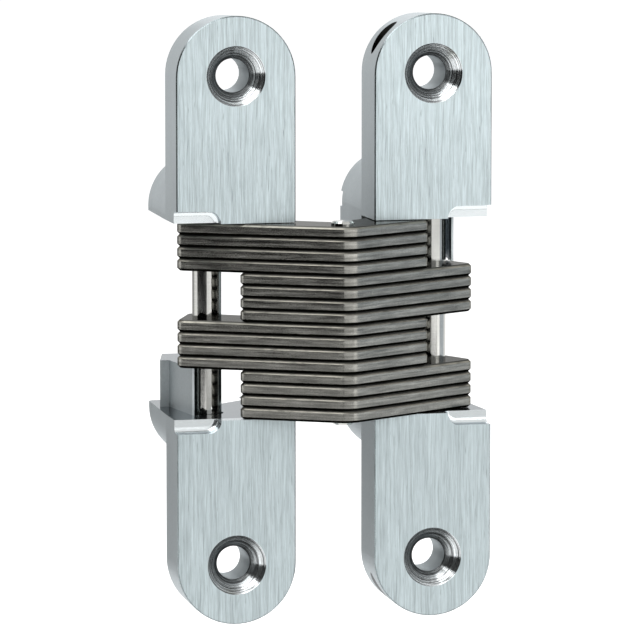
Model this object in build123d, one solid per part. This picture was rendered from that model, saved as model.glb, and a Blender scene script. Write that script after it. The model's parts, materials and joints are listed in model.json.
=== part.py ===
from build123d import *
import os
from math import acos, atan2, cos, degrees, hypot, radians, sin, sqrt, tan

# Concealed mortise hinge, opened flat. Millimetres, +Z up.
# Origin: middle of the left leaf's two screws, on the back of its end plates.
# X runs from the left leaf to the right leaf, and the front faces look toward -Y.
# A place in a leaf is (across, deep): across from the leaf's inner edge, deep from its front face.

# Leaf casting
leaf_length = 95.25
leaf_width = 19.05
plate_thickness = 9.2
body_depth = 27.0
plate_draft = 2.0
body_draft = 3.5
body_end_margin = 0.85
front_edge_chamfer = 0.2
back_edge_chamfer = 0.6
open_gap = 12.7
closed_gap = 0.5

# Screw holes
screw_end_distance = 9.375
screw_hole_diameter = 5.3
countersink_diameter = 9.4
countersink_angle = 76.0

# Links
links_per_stack = 4
stack_count = 4
link_thickness = 1.9
link_edge_chamfer = 0.4
stack_gap = 0.05
pocket_end_gap = 0.1
front_edge_heading = 32.0
front_edge_offset = 4.2
nose_radius = 3.5
long_back_margin = 3.3
long_end_margin = 3.8
long_corner_radius = 1.6
short_arm_reach = 9.3
short_corner_radius = 1.2
pivot_lobe_radius = 2.55
inner_corner_offset = 4.6
inner_corner_radius = 2.0
bay_sweep_margin = 1.2

# Pins
fixed_pin_diameter = 3.2
fixed_pin_across = 2.7
fixed_pin_deep = 4.5
fixed_pin_seat = 8.0
fixed_pin_entry_diameter = 4.0
slide_pin_diameter = 4.6
slide_pin_across = 12.0
slide_pin_deep = 9.8
centre_pin_diameter = 3.2
centre_pin_deep = -4.5
centre_head_diameter = 3.7
centre_head_height = 0.6
centre_head_chamfer = 0.3
pin_end_chamfer = 0.2

# Clearances
press_clearance = 0.01
running_clearance = 0.05
slot_clearance = 0.3
pin_pass_clearance = 0.35

# Pocket, slots, lug and notches
inner_wall = 2.0
pocket_corner_radius = 0.8
slot_depth = 2.4
slot_end_gap = 0.2
notch_reach = 7.1
notch_height = 2.0
notch_depth = 2.3
notch_end_radius = 1.95
notch_cove_radius = 0.9
lug_top_gap = 0.25
lug_tip_deep = 7.4
lug_tip_wall = 0.35
lug_step_deep = 18.6
lug_step_across = 16.1
lug_flange_across = 17.6
lug_back_across = 15.4

# Worked-out sizes
screw_spacing = leaf_length - 2 * screw_end_distance
stack_height = links_per_stack * link_thickness
pocket_height = (
    stack_count * stack_height + (stack_count - 1) * stack_gap + 2 * pocket_end_gap
)
half_pocket = pocket_height / 2
body_width = leaf_width - 2 * plate_thickness * tan(radians(plate_draft))
body_length = pocket_height + body_width + 2 * body_end_margin
hinge_middle = leaf_width / 2 + open_gap / 2
fixed_pin_radius = fixed_pin_diameter / 2
slide_pin_radius = slide_pin_diameter / 2
centre_pin_radius = centre_pin_diameter / 2
centre_head_radius = centre_head_diameter / 2


def in_left_leaf(across, deep):
    """Plan point of a place in the left leaf."""
    return (leaf_width / 2 - across, deep - plate_thickness)


def rotated(point, angle):
    """Plan point turned about the plan origin by an angle in degrees."""
    turn = radians(angle)
    return (
        point[0] * cos(turn) - point[1] * sin(turn),
        point[0] * sin(turn) + point[1] * cos(turn),
    )


def added(first, second):
    return (first[0] + second[0], first[1] + second[1])


def taken(first, second):
    return (first[0] - second[0], first[1] - second[1])


# Places of the pins with the hinge open, in leaf places (across, deep)
fixed_pin = (fixed_pin_across, fixed_pin_deep)
centre_pin = (-open_gap / 2, centre_pin_deep)
slide_pin = (slide_pin_across, slide_pin_deep)

# Closed, the centre pin lies midway between the two front faces
pivot_arm = hypot(*taken(centre_pin, fixed_pin))
closed_rise = fixed_pin_deep + closed_gap / 2
centre_pin_closed = (fixed_pin_across + sqrt(pivot_arm**2 - closed_rise**2), -closed_gap / 2)
open_bearing = degrees(atan2(centre_pin[1] - fixed_pin[1], centre_pin[0] - fixed_pin[0]))
closed_bearing = degrees(
    atan2(centre_pin_closed[1] - fixed_pin[1], centre_pin_closed[0] - fixed_pin[0])
)
pivot_turn = closed_bearing - open_bearing
slide_turn = 180.0 - pivot_turn
slide_arm = taken(slide_pin, centre_pin)


def slide_pin_at(share):
    """Place of the slide pin in its leaf at a share of the closing turn."""
    arm = rotated(taken(centre_pin, fixed_pin), share * pivot_turn)
    return added(added(fixed_pin, arm), rotated(slide_arm, share * slide_turn))


def plan_vector(point, height=0.0):
    return Vector(point[0], point[1], height)


def leaf_vector(place, height=0.0):
    return plan_vector(in_left_leaf(*place), height)


def half_turn(shape):
    """The same piece on the other side: half a turn about the viewing axis."""
    return shape.rotate(Axis((hinge_middle, 0, 0), (0, 1, 0)), 180)


def upright_cylinder(place, radius, low, high):
    """Cylinder along Z at a leaf place, between two heights."""
    centre = leaf_vector(place, low)
    return Pos(*centre) * Cylinder(
        radius, high - low, align=(Align.CENTER, Align.CENTER, Align.MIN)
    )


def leaf_block(across_low, across_high, deep_low, deep_high, low, high):
    """Box between two places of the left leaf and two heights."""
    corner = in_left_leaf(across_high, deep_low)
    return Pos(corner[0], corner[1], low) * Box(
        across_high - across_low,
        deep_high - deep_low,
        high - low,
        align=(Align.MIN, Align.MIN, Align.MIN),
    )


# Leaf

def leaf_stadium(length, width, deep):
    """Upright round-ended outline of the casting at a depth, facing backward."""
    front = Plane(origin=(0, deep - plate_thickness, 0), x_dir=(0, 0, 1), z_dir=(0, 1, 0))
    return front * SlotOverall(length, width)


def casting():
    """Screw plates, and a deeper body whose round ends are centred just beyond the pocket."""
    plates = extrude(leaf_stadium(leaf_length, leaf_width, 0), plate_thickness, taper=plate_draft)
    front_face = plates.faces().sort_by(Axis.Y)[0]
    plates = chamfer(front_face.edges(), front_edge_chamfer)
    outline = leaf_stadium(body_length, body_width, plate_thickness)
    body = extrude(outline, body_depth - plate_thickness, taper=body_draft)
    back_face = body.faces().sort_by(Axis.Y)[-1]
    body = chamfer(back_face.edges(), back_edge_chamfer)
    return plates + body


def pocket():
    """Opening for the links: clear to the front, back and outer side, walled on the inner side."""
    over = leaf_width
    well = leaf_block(
        inner_wall, leaf_width + over, -over, body_depth + over, -half_pocket, half_pocket
    )
    corners = well.edges().filter_by(Axis.Y).sort_by(Axis.X)[-2:]
    well = fillet(corners, pocket_corner_radius)
    front = leaf_block(-over, over, -over, plate_thickness, -half_pocket, half_pocket)
    return well + front


def slide_path():
    """Arc that follows the slide pin's centre from open to closed."""
    return ThreePointArc(*[leaf_vector(slide_pin_at(share)) for share in (0, 0.5, 1)])


def slide_cut(low, high, forward):
    """Room for the slide pin between two heights, open at the back and, if asked, at the front."""
    width = 2 * (slide_pin_radius + slot_clearance)
    path = slide_path()
    profile = SlotArc(path, width)
    back_run = Plane(origin=path @ 1, x_dir=path % 1, z_dir=(0, 0, 1))
    profile += back_run * Rectangle(body_depth, width, align=(Align.MIN, Align.CENTER))
    if forward:
        front_run = Plane(origin=path @ 0, x_dir=(0, -1, 0), z_dir=(0, 0, 1))
        profile += front_run * Rectangle(body_depth, width, align=(Align.MIN, Align.CENTER))
    return Pos(0, 0, low) * extrude(profile, high - low)


def lug():
    """Outer guide of the slide pin, one stack tall, on the floor of the pocket."""
    inner_face = slide_pin_across + slide_pin_radius + slot_clearance
    outline = [
        (inner_face + lug_tip_wall, lug_tip_deep),
        (lug_step_across, lug_step_deep),
        (lug_flange_across, lug_step_deep),
        (lug_back_across, body_depth),
        (slide_pin_at(1)[0], body_depth),
        (slide_pin_across, slide_pin_deep),
        (slide_pin_across, lug_tip_deep),
    ]
    face = make_face(Polyline(*[leaf_vector(place) for place in outline], close=True))
    floor = -half_pocket
    top = floor + pocket_end_gap + stack_height - lug_top_gap
    wall = Pos(0, 0, floor - notch_height) * extrude(face, top - floor + notch_height)
    return wall - slide_cut(floor - 2 * notch_height, half_pocket, True)


def notch(side):
    """Round-ended step in the front face beside the pocket, open to the leaf's outer side."""
    outer = in_left_leaf(2 * leaf_width, 0)[0]
    inner = in_left_leaf(leaf_width - notch_reach, 0)[0]
    low = half_pocket - notch_height
    high = half_pocket + notch_height
    step = Pos((outer + inner) / 2, -plate_thickness, (low + high) / 2) * Box(
        inner - outer, 2 * notch_depth, high - low
    )
    ends = step.edges().filter_by(Axis.Y).sort_by(Axis.X)[-2:]
    step = fillet(ends, notch_end_radius)
    step = fillet(step.faces().sort_by(Axis.Y)[-1].edges(), notch_cove_radius)
    return step if side > 0 else mirror(step, Plane.XY)


def screw_hole(height):
    """Countersunk screw hole through an end plate."""
    cone_depth = (countersink_diameter - screw_hole_diameter) / 2 / tan(radians(countersink_angle / 2))
    front = Plane(origin=(0, -plate_thickness, height), z_dir=(0, 1, 0))
    bore = front * Cylinder(
        screw_hole_diameter / 2, body_depth, align=(Align.CENTER, Align.CENTER, Align.MIN)
    )
    cone = front * Cone(
        countersink_diameter / 2,
        screw_hole_diameter / 2,
        cone_depth,
        align=(Align.CENTER, Align.CENTER, Align.MIN),
    )
    return bore + cone


def left_leaf():
    """Left leaf casting."""
    body = casting()
    body -= pocket()
    body += lug()
    for side in (1, -1):
        low, high = sorted((side * half_pocket, side * (half_pocket + slot_depth)))
        body -= slide_cut(low, high, False)
        body -= notch(side)
        body -= screw_hole(side * screw_spacing / 2)
    bore_radius = fixed_pin_radius + press_clearance
    bore_end = half_pocket + fixed_pin_seat
    body -= upright_cylinder(fixed_pin, bore_radius, -bore_end, bore_end)
    entry_radius = fixed_pin_entry_diameter / 2
    body -= upright_cylinder(fixed_pin, entry_radius, -leaf_length, -bore_end)
    return body


# Links

def line_meeting(point_a, heading_a, point_b, heading_b):
    """Plan point where two lines meet, each given by a point and a heading in degrees."""
    ax, ay = cos(radians(heading_a)), sin(radians(heading_a))
    bx, by = cos(radians(heading_b)), sin(radians(heading_b))
    gap = taken(point_b, point_a)
    along = (gap[0] * by - gap[1] * bx) / (ax * by - ay * bx)
    return (point_a[0] + along * ax, point_a[1] + along * ay)


def bearing(origin, target):
    """Heading in degrees from one plan point to another."""
    return degrees(atan2(target[1] - origin[1], target[0] - origin[0]))


def tangent_point(point, centre, radius, side):
    """Where a line from a point touches a circle, on its left (1) or right (-1) side."""
    spread = degrees(acos(radius / hypot(*taken(point, centre))))
    return added(centre, rotated((radius, 0), bearing(centre, point) - side * spread))


def link_corners():
    """Sharp corners of a link that slides in the left leaf and pivots in the right.

    They are places of the left leaf, in order round the outline: nose, end of the long arm,
    its back corner, inside of the bend, then the two touching points of the pivot's lobe and
    the end of the short arm.
    """
    nose = (centre_pin[0], centre_pin[1] - front_edge_offset / cos(radians(front_edge_heading)))
    end_heading = 90.0 - slide_turn
    end_point = added(slide_pin, rotated((long_end_margin, 0), end_heading))
    long_corner = line_meeting(nose, front_edge_heading, end_point, end_heading + 90)
    arm_heading = bearing(centre_pin, slide_pin)
    back_point = added(slide_pin, rotated((long_back_margin, 0), arm_heading + 90))
    bend = (centre_pin[0], centre_pin[1] + inner_corner_offset)
    back_corner = line_meeting(end_point, end_heading + 90, back_point, bearing(bend, back_point))
    short_reach = open_gap + short_arm_reach
    drop = (short_reach + nose[0]) * tan(radians(front_edge_heading))
    short_corner = (-short_reach, nose[1] + drop)
    return nose, long_corner, back_corner, bend, short_corner


far_pivot = (-open_gap - fixed_pin_across, fixed_pin_deep)


def rounded_corner(face, place, radius):
    """Round the corner of a flat face that lies at a leaf place."""
    return fillet(face.vertices().sort_by_distance(leaf_vector(place))[0], radius)


def link_face():
    """Plan outline of a link, with its pin holes and the bay that clears the fixed pin."""
    nose, long_corner, back_corner, bend, short_corner = link_corners()
    lobe_in = tangent_point(bend, far_pivot, pivot_lobe_radius, -1)
    lobe_out = tangent_point(short_corner, far_pivot, pivot_lobe_radius, 1)
    outline = [nose, long_corner, back_corner, bend, lobe_in, far_pivot, lobe_out, short_corner]
    face = make_face(Polyline(*[leaf_vector(place) for place in outline], close=True))
    face = rounded_corner(face, nose, nose_radius)
    face = rounded_corner(face, long_corner, long_corner_radius)
    face = rounded_corner(face, back_corner, long_corner_radius)
    face = rounded_corner(face, bend, inner_corner_radius)
    face = rounded_corner(face, short_corner, short_corner_radius)
    face += Pos(*leaf_vector(far_pivot)) * Circle(pivot_lobe_radius)
    return face - fixed_pin_bay()


def fixed_pin_bay():
    """Round-bottomed bay in the back of the long arm, swept by the near leaf's fixed pin."""
    arm = taken(fixed_pin, centre_pin)
    sweep = (pivot_turn - slide_turn) * bay_sweep_margin
    places = [added(centre_pin, rotated(arm, turn)) for turn in (0, sweep / 2, sweep)]
    path = ThreePointArc(*[leaf_vector(place) for place in places])
    return SlotArc(path, 2 * (fixed_pin_radius + pin_pass_clearance))


def link_blank():
    """One blanked link, standing on the plane of the origin, without its pin holes."""
    blank = extrude(link_face(), link_thickness)
    flat_faces = blank.faces().filter_by(Axis.Z)
    return chamfer(flat_faces.edges(), link_edge_chamfer)


def link_holes():
    """Pin holes of a link that slides in the left leaf: centre, slide and far fixed pin."""
    rise = 2 * link_thickness
    cut = upright_cylinder(centre_pin, centre_pin_radius + running_clearance, -rise, rise)
    cut += upright_cylinder(slide_pin, slide_pin_radius + press_clearance, -rise, rise)
    cut += upright_cylinder(far_pivot, fixed_pin_radius + running_clearance, -rise, rise)
    return cut


def stack_top(stack):
    """Height of the top face of a stack, counted from the top."""
    return half_pocket - pocket_end_gap - stack * (stack_height + stack_gap)


def sliding_links():
    """Links of the first and third stacks, which slide in the left leaf."""
    blank = link_blank() - link_holes()
    links = {}
    for stack, name in ((0, "first"), (2, "third")):
        for number in range(links_per_stack):
            foot = stack_top(stack) - (number + 1) * link_thickness
            links[f"{name}_stack_link_{number + 1}"] = Pos(0, 0, foot) * blank
    return links


def pivoting_links():
    """Links of the second and fourth stacks, the same blanks turned over for the other side."""
    blank = half_turn(link_blank() - link_holes())
    links = {}
    for stack, name in ((1, "second"), (3, "fourth")):
        for number in range(links_per_stack):
            head = stack_top(stack) - number * link_thickness
            links[f"{name}_stack_link_{number + 1}"] = Pos(0, 0, head) * blank
    return links


# Pins

def straight_pin(place, radius, low, high):
    """Plain pin with broken ends."""
    pin = upright_cylinder(place, radius, low, high)
    rims = pin.edges().filter_by(GeomType.CIRCLE)
    return chamfer(rims, pin_end_chamfer)


def left_fixed_pin():
    """Pin that the second and fourth stacks turn on, driven in through the wider entry bore."""
    reach = half_pocket + fixed_pin_seat - slot_end_gap
    return straight_pin(fixed_pin, fixed_pin_radius, -reach, reach)


def left_slide_pin():
    """Pin of the first and third stacks, with its ends in the leaf's two slots."""
    reach = half_pocket + slot_depth - slot_end_gap
    return straight_pin(slide_pin, slide_pin_radius, -reach, reach)


def centre_pin_piece():
    """Pin through all the links, riveted over into a low head at each end."""
    stack_face = half_pocket - pocket_end_gap
    pin = upright_cylinder(centre_pin, centre_pin_radius, -stack_face, stack_face)
    head = upright_cylinder(centre_pin, centre_head_radius, stack_face, stack_face + centre_head_height)
    rim = head.edges().filter_by(GeomType.CIRCLE).sort_by(Axis.Z)[-1]
    head = chamfer(rim, centre_head_chamfer)
    return pin + head + mirror(head, Plane.XY)


def build_pieces():
    """Every separate piece of the hinge, by its node name."""
    near_leaf = left_leaf()
    near_fixed = left_fixed_pin()
    near_slide = left_slide_pin()
    pieces = {
        "left_leaf": near_leaf,
        "right_leaf": half_turn(near_leaf),
        "left_fixed_pin": near_fixed,
        "right_fixed_pin": half_turn(near_fixed),
        "left_slide_pin": near_slide,
        "right_slide_pin": half_turn(near_slide),
        "centre_pin": centre_pin_piece(),
    }
    pieces.update(sliding_links())
    pieces.update(pivoting_links())
    return pieces


def main():
    os.makedirs("parts", exist_ok=True)
    for name, piece in build_pieces().items():
        export_step(piece, f"parts/{name}.step")
    print(f"closing turn of the fixed-pin joints {pivot_turn:.4f} degrees")
    print(f"centre joint {slide_turn - pivot_turn:.4f} degrees, closed centre pin {centre_pin_closed}")
    print(f"slide pin closed at {slide_pin_at(1)}, half way at {slide_pin_at(0.5)}")


if __name__ == "__main__":
    main()
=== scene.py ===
import json
import math

import bpy
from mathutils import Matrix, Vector


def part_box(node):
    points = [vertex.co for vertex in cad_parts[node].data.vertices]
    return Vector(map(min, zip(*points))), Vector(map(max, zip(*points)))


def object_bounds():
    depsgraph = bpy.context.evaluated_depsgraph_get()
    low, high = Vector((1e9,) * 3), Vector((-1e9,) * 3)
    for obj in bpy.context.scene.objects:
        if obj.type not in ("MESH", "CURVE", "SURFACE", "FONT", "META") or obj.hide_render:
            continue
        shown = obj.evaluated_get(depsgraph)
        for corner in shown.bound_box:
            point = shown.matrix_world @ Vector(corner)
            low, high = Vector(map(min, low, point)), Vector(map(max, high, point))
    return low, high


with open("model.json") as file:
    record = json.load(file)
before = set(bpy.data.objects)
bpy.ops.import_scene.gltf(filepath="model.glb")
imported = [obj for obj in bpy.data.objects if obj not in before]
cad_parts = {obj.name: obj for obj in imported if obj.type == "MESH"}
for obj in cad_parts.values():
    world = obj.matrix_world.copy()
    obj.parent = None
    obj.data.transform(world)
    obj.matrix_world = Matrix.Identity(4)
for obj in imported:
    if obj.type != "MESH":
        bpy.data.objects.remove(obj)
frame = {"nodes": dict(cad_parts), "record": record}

bl_info = {
    "name": "Concealed hinge",
    "version": (1, 0, 0),
    "blender": (4, 5, 0),
    "location": "View3D > Sidebar > Hinge",
    "description": "Finishes and stages a concealed mortise hinge with crossed links",
    "category": "Object",
}

MM = 0.001
WHITE = (1, 1, 1, 1)
CAD_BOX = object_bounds()
LEAVES = ("left_leaf", "right_leaf")
STACKS = ("first", "second", "third", "fourth")
LINKS_PER_STACK = 4
PIN_ENTRY_DIAMETER = 4.0 * MM

# Each pair below says where a finish starts and where it is full.
# Depths behind the plates' front
FRONT_DEPTH = (0.25 * MM, 0.05 * MM)
EDGE_DEPTH = (0.3 * MM, 0.22 * MM)
NOTCH_DEPTH = (2.5 * MM, 2.4 * MM)
# Distances from the axis of a screw hole
SINK_RIM = (4.78 * MM, 4.72 * MM)
# The countersinks' painted shade darkens them towards the bore over this range
SINK_SHADE = (2.7 * MM, 3.7 * MM)
# Heights from the middle of a leaf, and distances that a face looks inward
PLATE_END = (17.9 * MM, 17.8 * MM)
POCKET_INWARD = (-0.5 * MM, -1.0 * MM)
# Past the entry's wall, and past the end of the fixed pin
ENTRY_WALL = (0.04 * MM, 0.02 * MM)
ENTRY_START = (0, 0.5 * MM)
# Components of the unit normal; the front looks along -Y
TURNED_FRONT = (-0.9, -0.98)
TURNED_UP = (0.9, 0.97)
OFF_FRONT = (-0.97, -0.9)
OFF_BACK = (0.9, 0.8)
OFF_SIDE = (0.98, 0.9)
EDGE_NEAR_FRONT = (-0.95, -0.85)
EDGE_NEAR_SIDE = (-0.5, -0.6)
BORE_WALL = (-0.4, -0.3)
LINK_SIDE = (0.5, 0.2)
# Shares of a link's pitch, counted down from its top
TORN_ZONE = (0.42, 0.5)
WORN_ZONE = (0.07, 0.11)

# How often a noise changes in a metre of x, y and z
BRUSH_SWAY = (300, 300, 130)
CAST_GRAIN = (2600, 2600, 2600)
STAINS = (120, 120, 60)
DRAWN_LINES = (150, 150, 2800)
OIL_SMEARS = (260, 260, 900)
RUB_MARKS = (500, 500, 200)
OIL_FILM = (500, 500, 120)
SHEAR_MARKS_UP = 240
GRIND_MARKS_ASIDE = 60
RING_BREAKS = 160.0
# Most of a noise lies in this range; brush lines keep to a narrower one
NOISE_SPAN = (0.3, 0.7)
GRAIN_SPAN = (0.36, 0.62)

# How metallic the surfaces are, the tints of their grazing reflections, their roughness
LEAF_METAL, LINK_METAL, PIN_METAL = 0.92, 0.97, 1.0
LEAF_TINT = (0.8, 0.82, 0.84, 1)
LINK_TINT = (0.25, 0.25, 0.24, 1)
LEAF_ROUGHNESS = {"cast": 0.42, "pocket": 0.14, "notch": 0.2, "edge": 0.25, "bore": 0.5}
LINK_ROUGHNESS = {"oil_film_and_shade": 0.15, "worn": 0.3, "groove": 0.6}
# How far apart the links' marks lie in their noise
LINK_MARKS_SHIFT = 40 * MM
# Step between the first links' numbers of two stacks, above the count of links in one
NUMBERS_PER_STACK = 7.0

# Glow that the camera and reflections see, and the world's light on everything else
FLOOR_GLOW = 0.64
WORLD_GLOW = 1.0
WORLD_LIGHT = 0.55
# Name, place from the middle of the hinge, size, watts
LAMPS = (
    ("key_lamp", (0.55, -0.8, 0.35), 0.45, 5.0),
    ("top_lamp", (-0.45, -0.2, 0.85), 0.8, 5.0),
    ("back_lamp", (0.2, 0.8, 0.6), 0.6, 1.5),
)
# Name, direction from the middle of the hinge, distance, width, height, colour
CARDS = (
    ("left_card", (-0.8, -0.6, 0), 0.7, 1.15, 1.1, (0, 0, 0)),
    ("right_card", (1, -0.2, 0), 0.7, 0.6, 0.7, (0.66, 0.72, 0.78)),
    ("table_card", (0.1, -0.75, -0.45), 0.35, 0.4, 0.3, (0.7, 0.7, 0.7)),
    ("back_card", (-0.26, 0.92, -0.34), 0.32, 0.5, 0.2, (0.45, 0.45, 0.45)),
)


def node_box(name):
    """Lowest and highest corner of a CAD node."""
    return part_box(name)


# Settings

class LeafFinish(bpy.types.PropertyGroup):
    plate_colour: bpy.props.FloatVectorProperty(
        name="Plate colour", description="Brushed front of the end plates",
        subtype="COLOR", size=3, min=0, max=1, default=(0.445, 0.51, 0.525),
    )
    cast_colour: bpy.props.FloatVectorProperty(
        name="Cast colour", description="Sides and back as they come from the die",
        subtype="COLOR", size=3, min=0, max=1, default=(0.42, 0.455, 0.465),
    )
    pocket_colour: bpy.props.FloatVectorProperty(
        name="Pocket colour", description="Smooth floor and walls of the pocket",
        subtype="COLOR", size=3, min=0, max=1, default=(0.26, 0.295, 0.31),
    )
    machined_colour: bpy.props.FloatVectorProperty(
        name="Machined colour", description="Countersinks cut after plating",
        subtype="COLOR", size=3, min=0, max=1, default=(0.66, 0.69, 0.70),
    )
    step_colour: bpy.props.FloatVectorProperty(
        name="Step colour", description="Bright notches in the corners of the plates",
        subtype="COLOR", size=3, min=0, max=1, default=(0.68, 0.72, 0.73),
    )
    bore_colour: bpy.props.FloatVectorProperty(
        name="Bore colour", description="Dull walls of the screw holes",
        subtype="COLOR", size=3, min=0, max=1, default=(0.36, 0.39, 0.40),
    )
    hole_shade_colour: bpy.props.FloatVectorProperty(
        name="Hole colour", description="Painted shade in the fixed pin's hole",
        subtype="COLOR", size=3, min=0, max=1, default=(0.03, 0.03, 0.028),
    )
    grain_width: bpy.props.FloatProperty(
        name="Grain width", description="Width of one brush line",
        subtype="DISTANCE", unit="LENGTH", default=0.11 * MM,
    )
    grain_length: bpy.props.FloatProperty(
        name="Grain length", description="Length of one brush line",
        subtype="DISTANCE", unit="LENGTH", default=4.5 * MM,
    )
    sink_crown: bpy.props.FloatProperty(
        name="Sink crown", description="How far the countersinks' normals tip to the front",
        min=0, max=1, default=0.15,
    )
    ring_pitch: bpy.props.FloatProperty(
        name="Ring pitch", description="Spacing of the tool marks in a countersink",
        subtype="DISTANCE", unit="LENGTH", default=0.16 * MM,
    )


class LinkFinish(bpy.types.PropertyGroup):
    steel_colour: bpy.props.FloatVectorProperty(
        name="Steel colour", description="Oiled sheet steel of the links",
        subtype="COLOR", size=3, min=0, max=1, default=(0.275, 0.272, 0.25),
    )
    worn_colour: bpy.props.FloatVectorProperty(
        name="Worn colour", description="Bare steel where the edges rub",
        subtype="COLOR", size=3, min=0, max=1, default=(0.29, 0.28, 0.243),
    )
    groove_shade_colour: bpy.props.FloatVectorProperty(
        name="Groove shade colour", description="Painted shade in the grooves between the links",
        subtype="COLOR", size=3, min=0, max=1, default=(0.004, 0.004, 0.003),
    )
    shear_width: bpy.props.FloatProperty(
        name="Shear mark width", description="Width of one mark left by the blanking die",
        subtype="DISTANCE", unit="LENGTH", default=0.12 * MM,
    )


class PinFinish(bpy.types.PropertyGroup):
    pin_colour: bpy.props.FloatVectorProperty(
        name="Pin colour", description="Ground steel of the pins",
        subtype="COLOR", size=3, min=0, max=1, default=(0.54, 0.54, 0.515),
    )
    grind_pitch: bpy.props.FloatProperty(
        name="Grinding pitch", description="Spacing of the grinding marks round a pin",
        subtype="DISTANCE", unit="LENGTH", default=0.08 * MM,
    )


class StageSetup(bpy.types.PropertyGroup):
    camera_place: bpy.props.FloatVectorProperty(
        name="Camera place", description="Where the camera stands",
        subtype="XYZ", unit="LENGTH", size=3, default=(-177.0 * MM, -745.4 * MM, 86.6 * MM),
    )
    camera_yaw: bpy.props.FloatProperty(
        name="Camera yaw", description="Turn of the view to the right of straight ahead",
        subtype="ANGLE", unit="ROTATION", default=math.radians(14.5),
    )
    camera_pitch: bpy.props.FloatProperty(
        name="Camera pitch", description="Tilt of the view below the horizon",
        subtype="ANGLE", unit="ROTATION", default=math.radians(6.5),
    )
    field_of_view: bpy.props.FloatProperty(
        name="Field of view", description="Angle across the square picture",
        subtype="ANGLE", unit="ROTATION", default=math.radians(7.473),
    )
    floor_drop: bpy.props.FloatProperty(
        name="Floor drop", description="How far below the hinge the floor lies",
        subtype="DISTANCE", unit="LENGTH", default=60 * MM,
    )
    floor_size: bpy.props.FloatProperty(
        name="Floor size", description="Width of the floor",
        subtype="DISTANCE", unit="LENGTH", default=16.0,
    )


# Materials

class NodeBuilder:
    """Adds shader nodes to a fresh material and joins them."""

    def __init__(self, name):
        self.material = bpy.data.materials.new(name)
        self.material.use_nodes = True
        self.tree = self.material.node_tree
        self.shader = self.tree.nodes["Principled BSDF"]
        self.output = self.tree.nodes["Material Output"]
        self.coordinates = self.node("ShaderNodeTexCoord")

    def node(self, kind, **settings):
        made = self.tree.nodes.new(kind)
        for key, value in settings.items():
            setattr(made, key, value)
        return made

    def join(self, start, end):
        self.tree.links.new(start, end)

    def put(self, socket, value):
        """A constant or another node's output into a socket."""
        if isinstance(value, bpy.types.NodeSocket):
            self.join(value, socket)
        else:
            socket.default_value = value

    def math(self, operation, first, second=0.0):
        made = self.node("ShaderNodeMath", operation=operation)
        self.put(made.inputs[0], first)
        self.put(made.inputs[1], second)
        return made.outputs[0]

    def product(self, first, *others):
        """All the numbers multiplied, such as masks that have to hold together."""
        for other in others:
            first = self.math("MULTIPLY", first, other)
        return first

    def parts(self, vector):
        made = self.node("ShaderNodeSeparateXYZ")
        self.join(vector, made.inputs[0])
        return made.outputs

    def vector(self, x, y, z):
        made = self.node("ShaderNodeCombineXYZ")
        for socket, value in zip(made.inputs, (x, y, z)):
            self.put(socket, value)
        return made.outputs[0]

    def scaled(self, vector, scale, offset=(0, 0, 0)):
        """Vector times scale, after its place is moved by offset."""
        made = self.node("ShaderNodeMapping", vector_type="POINT")
        self.join(vector, made.inputs["Vector"])
        made.inputs["Scale"].default_value = scale
        made.inputs["Location"].default_value = [o * s for o, s in zip(offset, scale)]
        return made.outputs[0]

    def noise(self, vector, detail=2.0, roughness=0.5):
        """Noise that changes once in each unit of an already scaled vector."""
        made = self.node("ShaderNodeTexNoise")
        self.join(vector, made.inputs["Vector"])
        made.inputs["Scale"].default_value = 1.0
        made.inputs["Detail"].default_value = detail
        made.inputs["Roughness"].default_value = roughness
        return made.outputs["Fac"]

    def ramp(self, value, low, high, to_low=0.0, to_high=1.0):
        """Value carried from one range to another, held at both ends."""
        made = self.node("ShaderNodeMapRange", clamp=True)
        self.put(made.inputs["Value"], value)
        for socket, number in zip(made.inputs[1:5], (low, high, to_low, to_high)):
            socket.default_value = number
        return made.outputs[0]

    def blend(self, share, first, second):
        """Colour between two others."""
        made = self.node("ShaderNodeMix", data_type="RGBA")
        self.put(made.inputs["Factor"], share)
        for socket, value in ((made.inputs[6], first), (made.inputs[7], second)):
            self.put(socket, (*value, 1) if isinstance(value, (tuple, list)) else value)
        return made.outputs[2]

    def between(self, share, first, second):
        """Number between two others."""
        made = self.node("ShaderNodeMix", data_type="FLOAT")
        self.put(made.inputs["Factor"], share)
        self.put(made.inputs[2], first)
        self.put(made.inputs[3], second)
        return made.outputs[0]

    def brightened(self, colour, factor):
        """Colour times a number."""
        made = self.node("ShaderNodeVectorMath", operation="SCALE")
        self.put(made.inputs[0], colour)
        self.put(made.inputs["Scale"], factor)
        return made.outputs[0]

    def tipped_normal(self, share, amount):
        """Surface normal tipped to the piece's front where share is 1."""
        front = self.node(
            "ShaderNodeVectorTransform",
            vector_type="VECTOR", convert_from="OBJECT", convert_to="WORLD",
        )
        front.inputs[0].default_value = (0, -amount, 0)
        added = self.node("ShaderNodeVectorMath", operation="MULTIPLY_ADD")
        self.join(front.outputs[0], added.inputs[0])
        self.join(share, added.inputs[1])
        self.join(self.node("ShaderNodeNewGeometry").outputs["Normal"], added.inputs[2])
        unit = self.node("ShaderNodeVectorMath", operation="NORMALIZE")
        self.join(added.outputs[0], unit.inputs[0])
        return unit.outputs[0]

    def bump(self, height, depth, strength, normal=None):
        """Fine relief on the surface, on top of a given normal."""
        made = self.node("ShaderNodeBump")
        self.join(height, made.inputs["Height"])
        if normal is not None:
            self.join(normal, made.inputs["Normal"])
        made.inputs["Distance"].default_value = depth
        made.inputs["Strength"].default_value = strength
        self.join(made.outputs[0], self.shader.inputs["Normal"])

    def metal(self, share, tint=WHITE):
        """How metallic the surface is, and the tint of its grazing reflections."""
        self.shader.inputs["Metallic"].default_value = share
        self.shader.inputs["Specular Tint"].default_value = tint


def beyond(start, band):
    """The two ends of a band that is counted from a start."""
    return [start + end for end in band]


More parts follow.
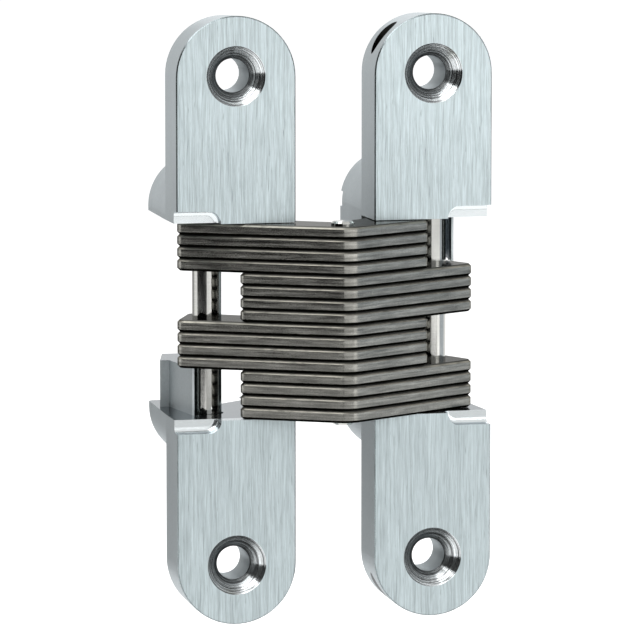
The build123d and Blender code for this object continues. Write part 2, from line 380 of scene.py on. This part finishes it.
def screw_radius(made, x, z, screw_height):
    """Distance of a point from the axis of the nearer screw hole."""
    up = made.math("SUBTRACT", made.math("ABSOLUTE", z), screw_height)
    squares = made.math("ADD", made.product(x, x), made.product(up, up))
    return made.math("SQRT", squares)


def brush_lines(made, place, finish):
    """Uneven strokes along the leaf: fine, broad and a few deep ones."""
    x, y, z = made.parts(place)
    sway = made.noise(made.scaled(place, BRUSH_SWAY), detail=1)
    x = made.math("ADD", x, made.product(sway, 0.5 * MM))
    swayed = made.vector(x, y, z)
    across, along = 1 / finish.grain_width, 1 / finish.grain_length
    fine_scale = (across, across, along)
    broad_scale = (across / 3.5, across / 3.5, along / 3)
    deep_scale = (across / 1.5, across / 1.5, along * 1.6)
    fine = made.noise(made.scaled(swayed, fine_scale), detail=3, roughness=0.75)
    broad = made.noise(made.scaled(swayed, broad_scale), detail=2)
    deep = made.noise(made.scaled(swayed, deep_scale, (5 * MM, 0, 3 * MM)))
    grain = made.math("ADD", made.product(fine, 0.65), made.product(broad, 0.35))
    return grain, made.ramp(deep, 0.66, 0.74)


def pin_distance(made, x, y, pin):
    """Distance from a pin's upright axis."""
    low, high = pin
    aside = made.math("SUBTRACT", x, (low.x + high.x) / 2)
    behind = made.math("SUBTRACT", y, (low.y + high.y) / 2)
    squares = [made.math("POWER", part, 2.0) for part in (aside, behind)]
    return made.math("SQRT", made.math("ADD", *squares))


def leaf_masks(made, place, middle, front_plane, screw_height, pin):
    """Where each finish of the casting lies, as shares from 0 to 1."""
    x, y, z = made.parts(place)
    nx, ny, nz = made.parts(made.coordinates.outputs["Normal"])
    height = made.math("ABSOLUTE", z)
    masks = {}

    masks["front"] = made.product(
        made.ramp(ny, *TURNED_FRONT), made.ramp(y, *beyond(front_plane, FRONT_DEPTH))
    )
    masks["edge"] = made.product(
        made.ramp(ny, *EDGE_NEAR_FRONT),
        made.ramp(ny, *EDGE_NEAR_SIDE),
        made.ramp(y, *beyond(front_plane, EDGE_DEPTH)),
    )

    radius = screw_radius(made, x, z, screw_height)
    near_screw = made.product(made.ramp(radius, *SINK_RIM), made.ramp(ny, *OFF_BACK))
    masks["sink"] = made.product(near_screw, made.ramp(ny, *OFF_FRONT))
    masks["bore"] = made.product(near_screw, made.ramp(ny, *BORE_WALL))

    # Between the end plates: notches near the front, pocket where faces look inward
    between_plates = made.ramp(height, *PLATE_END)
    masks["notch"] = made.product(
        between_plates,
        made.ramp(y, *beyond(front_plane, NOTCH_DEPTH)),
        made.math("SUBTRACT", 1.0, masks["front"]),
        made.ramp(made.math("ABSOLUTE", nx), *OFF_SIDE),
    )
    outward = made.math("ADD", made.product(x, nx), made.product(z, nz))
    masks["pocket"] = made.product(between_plates, made.ramp(outward, *POCKET_INWARD))

    # Beyond the fixed pin its hole widens and opens in the rounded end
    distance = pin_distance(made, made.math("ADD", x, middle), y, pin)
    masks["pin_hole"] = made.product(
        made.ramp(distance, *beyond(PIN_ENTRY_DIAMETER / 2, ENTRY_WALL)),
        made.ramp(height, *beyond(pin[1].z, ENTRY_START)),
    )
    return masks, radius


def sink_rings(made, place, radius, finish):
    """Tool marks round the screw holes."""
    x, y, z = made.parts(place)
    ring_place = made.vector(
        made.math("DIVIDE", radius, finish.ring_pitch),
        made.math("DIVIDE", y, finish.ring_pitch),
        made.product(made.math("ADD", x, z), RING_BREAKS),
    )
    return made.noise(ring_place, detail=4, roughness=0.75)


def leaf_material(name, finish, middle, front_plane, screw_height, pin):
    """Plated casting: brushed front, duller sides, smooth notches, ringed countersinks."""
    made = NodeBuilder(name)
    place = made.scaled(made.coordinates.outputs["Object"], (1, 1, 1), (-middle, 0, 0))
    masks, radius = leaf_masks(made, place, middle, front_plane, screw_height, pin)
    front, edge, in_sink = masks["front"], masks["edge"], masks["sink"]
    in_bore, in_notch, in_pocket = masks["bore"], masks["notch"], masks["pocket"]
    upward = made.parts(made.coordinates.outputs["Normal"])[2]

    grain, deep = brush_lines(made, place, finish)
    rings = sink_rings(made, place, radius, finish)
    cast = made.noise(made.scaled(place, CAST_GRAIN), detail=4, roughness=0.65)
    stain = made.noise(made.scaled(place, STAINS), detail=3, roughness=0.6)

    plate_tone = made.product(
        made.ramp(grain, *GRAIN_SPAN, 0.64, 1.19), made.ramp(deep, 0, 1, 1.0, 0.6)
    )
    # The plates' rounded front edges are darkened to 0.3 to 0.75 of the plate colour: painted shade
    edge_tone = made.ramp(grain, 0.4, 0.6, 0.3, 0.75)
    # Countersinks darken from 1.05 to 0.3 of the colour towards the bore: painted shade; the rings
    # are tool marks
    sink_tone = made.product(
        made.ramp(rings, 0.4, 0.6, 0.08, 1.3), made.ramp(radius, *SINK_SHADE, 0.3, 1.05)
    )
    plate_colour = tuple(finish.plate_colour)
    # Pocket faces that look up are darkened to 0.65 of the colour and its walls brightened to 1.1:
    # painted shade on the pocket's floor
    pocket = made.brightened(
        tuple(finish.pocket_colour), made.ramp(upward, *TURNED_UP, 1.1, 0.65)
    )
    colour = made.brightened(
        tuple(finish.cast_colour), made.ramp(cast, *NOISE_SPAN, 0.93, 1.06)
    )
    for share, finer in (
        (in_pocket, pocket),
        (in_notch, tuple(finish.step_colour)),
        (front, made.brightened(plate_colour, plate_tone)),
        (edge, made.brightened(plate_colour, edge_tone)),
        (in_sink, made.brightened(tuple(finish.machined_colour), sink_tone)),
        (in_bore, tuple(finish.bore_colour)),
        # The fixed pin's hole is painted near black: painted shade inside the hole
        (masks["pin_hole"], tuple(finish.hole_shade_colour)),
    ):
        colour = made.blend(share, colour, finer)
    colour = made.brightened(colour, made.ramp(stain, *NOISE_SPAN, 0.96, 1.03))
    made.join(colour, made.shader.inputs["Base Color"])

    rough = LEAF_ROUGHNESS["cast"]
    for share, other in (
        (in_pocket, LEAF_ROUGHNESS["pocket"]),
        (in_notch, LEAF_ROUGHNESS["notch"]),
        (front, made.ramp(grain, *GRAIN_SPAN, 0.46, 0.30)),
        (edge, LEAF_ROUGHNESS["edge"]),
        (in_sink, made.ramp(rings, 0.35, 0.65, 0.08, 0.18)),
        (in_bore, LEAF_ROUGHNESS["bore"]),
    ):
        rough = made.between(share, rough, other)
    made.join(rough, made.shader.inputs["Roughness"])
    made.metal(LEAF_METAL, LEAF_TINT)

    smooth = made.math("MAXIMUM", in_pocket, in_notch)
    relief = made.between(smooth, made.product(cast, 0.5), made.product(cast, 0.05))
    relief = made.between(front, relief, made.math("SUBTRACT", grain, deep))
    relief = made.between(in_sink, relief, made.product(rings, 1.2))
    made.bump(relief, 0.02 * MM, 0.5, made.tipped_normal(in_sink, finish.sink_crown))
    return made.material


def broken_edge(made, upward, sign):
    """The slanted edge of a link that looks up (sign 1) or down (sign -1)."""
    return made.product(
        made.ramp(upward, sign * 0.3, sign * 0.5), made.ramp(upward, sign * 0.95, sign * 0.85)
    )


def link_material(name, finish, top, link_pitch, stack_pitch):
    """Oiled blanked steel: worn bands on the upper edges, painted shade on the slanted edges between
    the links and on faces that look up.
    """
    made = NodeBuilder(name)
    place = made.coordinates.outputs["Object"]
    x, y, z = made.parts(place)
    upward = made.parts(made.coordinates.outputs["Normal"])[2]
    side = made.ramp(made.math("ABSOLUTE", upward), *LINK_SIDE)
    upper_edge = broken_edge(made, upward, 1)
    lower_edge = broken_edge(made, upward, -1)

    # Every plate has its own shade and its own run of marks
    stack = made.math("DIVIDE", made.math("SUBTRACT", top, z), stack_pitch)
    link = made.product(made.math("FRACT", stack), stack_pitch / link_pitch)
    stack_number = made.product(made.math("FLOOR", stack), NUMBERS_PER_STACK)
    number = made.math("ADD", made.math("FLOOR", link), stack_number)
    own = made.node("ShaderNodeTexWhiteNoise", noise_dimensions="1D")
    made.join(number, own.inputs["W"])
    shift = made.product(own.outputs["Value"], LINK_MARKS_SHIFT)
    place = made.vector(made.math("ADD", x, shift), made.math("ADD", y, shift), z)

    across = 1 / finish.shear_width
    shear = made.noise(made.scaled(place, (across, across, SHEAR_MARKS_UP)), detail=3, roughness=0.65)
    drawn = made.noise(made.scaled(place, DRAWN_LINES), detail=3, roughness=0.6)
    smear = made.noise(made.scaled(place, OIL_SMEARS), detail=4, roughness=0.65)
    rub = made.noise(made.scaled(place, RUB_MARKS), detail=3, roughness=0.6)

    # The punch leaves a smooth land above and a torn zone below
    down = made.math("FRACT", link)
    ragged = made.product(made.math("SUBTRACT", rub, 0.5), 0.3)
    torn = made.product(side, made.ramp(made.math("ADD", down, ragged), *TORN_ZONE))
    # Faces that look up: painted shade in their colour, a smooth oil film in their roughness
    oil_film_and_shade = made.ramp(upward, *TURNED_UP)

    shade = made.ramp(own.outputs["Value"], 0, 1, 0.92, 1.1)
    streaks = made.ramp(drawn, *NOISE_SPAN, 0.7, 1.3)
    cloud = made.product(made.ramp(smear, *NOISE_SPAN, 0.85, 1.15), streaks)
    marks = made.ramp(shear, 0.35, 0.65, 0.93, 1.05)
    tone = made.product(shade, cloud, marks, made.ramp(torn, 0, 1, 1.0, 0.85))
    colour = made.brightened(tuple(finish.steel_colour), tone)
    # Faces that look up are darkened to 0.35 of the colour: painted shade between the stacked links
    colour = made.brightened(colour, made.ramp(oil_film_and_shade, 0, 1, 1.0, 0.35))
    worn = made.product(
        upper_edge, made.ramp(rub, 0.32, 0.55, 0.45, 1.0), made.ramp(down, *WORN_ZONE)
    )
    # Slanted edges that look up are darkened to 0.3 of the colour as painted shade in the grooves
    # between the links; worn bands then take the worn colour
    colour = made.brightened(colour, made.between(upper_edge, 1.0, 0.3))
    colour = made.blend(worn, colour, tuple(finish.worn_colour))
    # Slanted edges that look down are painted near black: painted shade in the grooves between the
    # links
    colour = made.blend(lower_edge, colour, tuple(finish.groove_shade_colour))
    made.join(colour, made.shader.inputs["Base Color"])

    side_rough = made.ramp(drawn, 0.35, 0.65, 0.13, 0.22)
    rough = made.between(side, made.ramp(smear, *NOISE_SPAN, 0.4, 0.55), side_rough)
    rough = made.math("ADD", rough, made.product(torn, 0.06))
    rough = made.between(oil_film_and_shade, rough, LINK_ROUGHNESS["oil_film_and_shade"])
    rough = made.between(worn, rough, LINK_ROUGHNESS["worn"])
    rough = made.between(lower_edge, rough, LINK_ROUGHNESS["groove"])
    made.join(rough, made.shader.inputs["Roughness"])
    made.metal(LINK_METAL, LINK_TINT)
    relief = made.math("ADD", made.product(shear, 0.2), made.product(drawn, 0.5))
    made.bump(made.between(side, smear, relief), 0.01 * MM, 0.4)
    return made.material


def pin_material(name, finish):
    """Ground steel with fine marks round the pin."""
    made = NodeBuilder(name)
    place = made.coordinates.outputs["Object"]
    marks_scale = (GRIND_MARKS_ASIDE, GRIND_MARKS_ASIDE, 1 / finish.grind_pitch)
    marks = made.noise(made.scaled(place, marks_scale), detail=3, roughness=0.6)
    film = made.noise(made.scaled(place, OIL_FILM), detail=3)
    tone = made.product(
        made.ramp(marks, *NOISE_SPAN, 0.88, 1.08), made.ramp(film, *NOISE_SPAN, 0.9, 1.05)
    )
    made.join(made.brightened(tuple(finish.pin_colour), tone), made.shader.inputs["Base Color"])
    made.join(made.ramp(film, *NOISE_SPAN, 0.07, 0.14), made.shader.inputs["Roughness"])
    made.metal(PIN_METAL)
    made.bump(marks, 0.003 * MM, 0.4)
    return made.material


def dress(node_name, material):
    """The CAD node keeps its shape and takes the finish."""
    node = frame["nodes"][node_name]
    if not node.material_slots:
        node.data.materials.append(material)
    for slot in node.material_slots:
        slot.material = material


# Operators

class HINGE_OT_leaves(bpy.types.Operator):
    """Finish the two cast leaves"""
    bl_idname = "hinge.leaves"
    bl_label = "Leaves"

    def execute(self, context):
        finish = context.scene.hinge_leaves
        screws = [m for m in frame["record"]["mounts"] if m["kind"] == "bolt_pattern"]
        screw_height = screws[0]["dims"]["spacing_y_mm"] * MM / 2
        for leaf in LEAVES:
            low, high = node_box(leaf)
            middle = (low.x + high.x) / 2
            pin = node_box(leaf.replace("leaf", "fixed_pin"))
            dress(leaf, leaf_material(leaf + "_finish", finish, middle, low.y, screw_height, pin))
        return {"FINISHED"}


class HINGE_OT_links(bpy.types.Operator):
    """Finish the four stacks of links"""
    bl_idname = "hinge.links"
    bl_label = "Links"

    def execute(self, context):
        finish = context.scene.hinge_links
        top = node_box("first_stack_link_1")[1].z
        link_pitch = top - node_box("first_stack_link_2")[1].z
        stack_pitch = top - node_box("second_stack_link_1")[1].z
        material = link_material("link_steel_finish", finish, top, link_pitch, stack_pitch)
        for stack in STACKS:
            for number in range(1, LINKS_PER_STACK + 1):
                dress(f"{stack}_stack_link_{number}", material)
        return {"FINISHED"}


class HINGE_OT_pins(bpy.types.Operator):
    """Finish the five pins"""
    bl_idname = "hinge.pins"
    bl_label = "Pins"

    def execute(self, context):
        material = pin_material("pin_steel_finish", context.scene.hinge_pins)
        for name in frame["nodes"]:
            if name.endswith("_pin"):
                dress(name, material)
        return {"FINISHED"}


class HINGE_OT_stage(bpy.types.Operator):
    """Set the floor, the light and the camera"""
    bl_idname = "hinge.stage"
    bl_label = "Stage"

    def execute(self, context):
        setup = context.scene.hinge_stage
        add_floor(setup)
        light_world()
        for lamp in LAMPS:
            add_lamp(*lamp)
        for card in CARDS:
            add_card(*card)
        add_camera(setup)
        context.scene.view_settings.view_transform = "Standard"
        return {"FINISHED"}


def seen_directly(tree, seen, otherwise=0.0):
    """One strength for camera, mirror and glass rays, another for the rest."""
    path = tree.nodes.new("ShaderNodeLightPath")
    direct = path.outputs["Is Camera Ray"]
    for ray in ("Is Glossy Ray", "Is Transmission Ray"):
        either = tree.nodes.new("ShaderNodeMath")
        either.operation = "MAXIMUM"
        tree.links.new(direct, either.inputs[0])
        tree.links.new(path.outputs[ray], either.inputs[1])
        direct = either.outputs[0]
    mix = tree.nodes.new("ShaderNodeMix")
    mix.data_type = "FLOAT"
    tree.links.new(direct, mix.inputs["Factor"])
    mix.inputs[2].default_value = otherwise
    mix.inputs[3].default_value = seen
    return mix.outputs[0]


def add_floor(setup):
    """Wide white floor that keeps the hinge's shadow."""
    place = (0, 0, CAD_BOX[0].z - setup.floor_drop)
    bpy.ops.mesh.primitive_plane_add(size=setup.floor_size, location=place)
    floor = bpy.context.object
    floor.name = "floor"
    material = bpy.data.materials.new("white_floor")
    material.use_nodes = True
    tree = material.node_tree
    paint = tree.nodes["Principled BSDF"]
    paint.inputs["Base Color"].default_value = (0.75, 0.75, 0.75, 1)
    paint.inputs["Roughness"].default_value = 0.9
    paint.inputs["Specular IOR Level"].default_value = 0.0
    paint.inputs["Emission Color"].default_value = WHITE
    tree.links.new(seen_directly(tree, FLOOR_GLOW), paint.inputs["Emission Strength"])
    floor.data.materials.append(material)


def light_world():
    """White surroundings to the camera and in reflections, softer as a light."""
    world = bpy.data.worlds.new("white_room")
    bpy.context.scene.world = world
    world.use_nodes = True
    tree = world.node_tree
    sky = tree.nodes["Background"]
    sky.inputs["Color"].default_value = WHITE
    tree.links.new(seen_directly(tree, WORLD_GLOW, WORLD_LIGHT), sky.inputs["Strength"])


def hinge_middle():
    """Middle of the hinge's box, at which the lamps and cards look."""
    return (CAD_BOX[0] + CAD_BOX[1]) / 2


def add_lamp(name, place, size, power):
    """Square soft lamp that faces the middle of the hinge."""
    lamp = bpy.data.lights.new(name, "AREA")
    lamp.shape = "SQUARE"
    lamp.size = size
    lamp.energy = power
    made = bpy.data.objects.new(name, lamp)
    bpy.context.scene.collection.objects.link(made)
    made.location = hinge_middle() + Vector(place)
    to_hinge = hinge_middle() - made.location
    made.rotation_euler = to_hinge.to_track_quat("-Z", "Y").to_euler()


def add_card(name, away, distance, width, height, shade):
    """Flat card beside the hinge that only reflections see, as in a photo studio."""
    away = Vector(away).normalized()
    bpy.ops.mesh.primitive_plane_add(size=1)
    card = bpy.context.object
    card.name = name
    card.scale = (width, height, 1)
    card.location = hinge_middle() + away * distance
    card.rotation_euler = away.to_track_quat("Z", "Y").to_euler()
    card.visible_camera = False
    card.visible_diffuse = False
    card.visible_shadow = False
    material = bpy.data.materials.new(name)
    material.use_nodes = True
    tree = material.node_tree
    glow = tree.nodes.new("ShaderNodeEmission")
    glow.inputs["Color"].default_value = (*shade, 1)
    tree.links.new(glow.outputs[0], tree.nodes["Material Output"].inputs["Surface"])
    card.data.materials.append(material)


def add_camera(setup):
    """Camera at the photograph's viewing angle."""
    camera = bpy.data.objects.new("camera", bpy.data.cameras.new("camera"))
    bpy.context.scene.collection.objects.link(camera)
    camera.location = setup.camera_place
    camera.rotation_euler = (math.pi / 2 - setup.camera_pitch, 0, -setup.camera_yaw)
    camera.data.angle = setup.field_of_view
    bpy.context.scene.camera = camera


class HINGE_PT_panel(bpy.types.Panel):
    """The hinge's pieces and their finishes"""
    bl_idname = "HINGE_PT_panel"
    bl_label = "Concealed hinge"
    bl_space_type = "VIEW_3D"
    bl_region_type = "UI"
    bl_category = "Hinge"

    def draw(self, context):
        scene = context.scene
        for operator, settings in PANEL_ROWS:
            part = self.layout.box()
            part.operator(operator)
            group = getattr(scene, settings)
            for name in group.__annotations__:
                part.prop(group, name)


PANEL_ROWS = (
    ("hinge.leaves", "hinge_leaves"),
    ("hinge.links", "hinge_links"),
    ("hinge.pins", "hinge_pins"),
    ("hinge.stage", "hinge_stage"),
)
SETTINGS = {
    "hinge_leaves": LeafFinish,
    "hinge_links": LinkFinish,
    "hinge_pins": PinFinish,
    "hinge_stage": StageSetup,
}
CLASSES = (
    *SETTINGS.values(),
    HINGE_OT_leaves,
    HINGE_OT_links,
    HINGE_OT_pins,
    HINGE_OT_stage,
    HINGE_PT_panel,
)


def register():
    for kind in CLASSES:
        bpy.utils.register_class(kind)
    for name, kind in SETTINGS.items():
        setattr(bpy.types.Scene, name, bpy.props.PointerProperty(type=kind))


def unregister():
    for name in SETTINGS:
        delattr(bpy.types.Scene, name)
    for kind in reversed(CLASSES):
        bpy.utils.unregister_class(kind)


def main():
    register()
    bpy.ops.hinge.leaves()
    bpy.ops.hinge.links()
    bpy.ops.hinge.pins()
    bpy.ops.hinge.stage()


if __name__ == "__main__":
    main()
